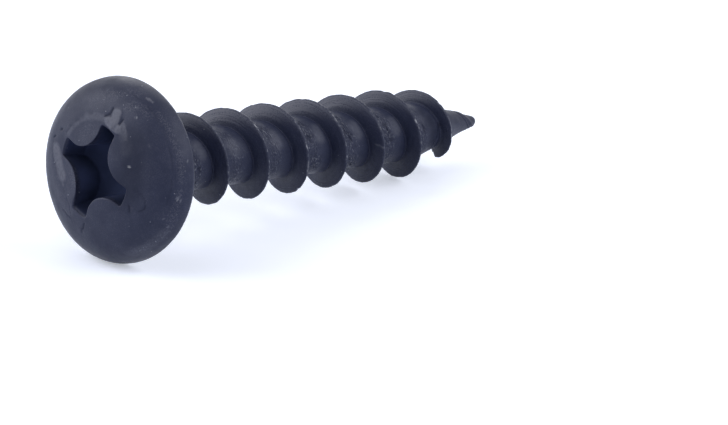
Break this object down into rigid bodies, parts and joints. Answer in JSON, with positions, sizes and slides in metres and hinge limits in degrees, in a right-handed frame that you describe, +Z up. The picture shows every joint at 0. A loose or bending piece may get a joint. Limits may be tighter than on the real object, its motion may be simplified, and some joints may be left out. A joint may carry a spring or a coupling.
{
  "type": "cabinet screw",
  "caption": "Dark pan-head cabinet screw with a cross recess, a deep coarse thread and a sharp tapered point, lying on its side.",
  "frame": {"origin": "middle of the screw's box in X and Y, on the floor that it lies on", "axes": "+X along the screw from its head to its point, level with the floor; +Z up; the screw's own axis drops 6.8 degrees towards the point, because the head's edge and a crest near the point touch the floor"},
  "size_m": [0.0278, 0.0094, 0.0094],
  "materials": {
    "cabinet_screw": "satin blue-black coating on steel, worn bright on the crests of the thread and the rim of the head"
  },
  "bodies": {
    "root": {"cabinet_screw": "cabinet_screw"}
  },
  "joints": []
}
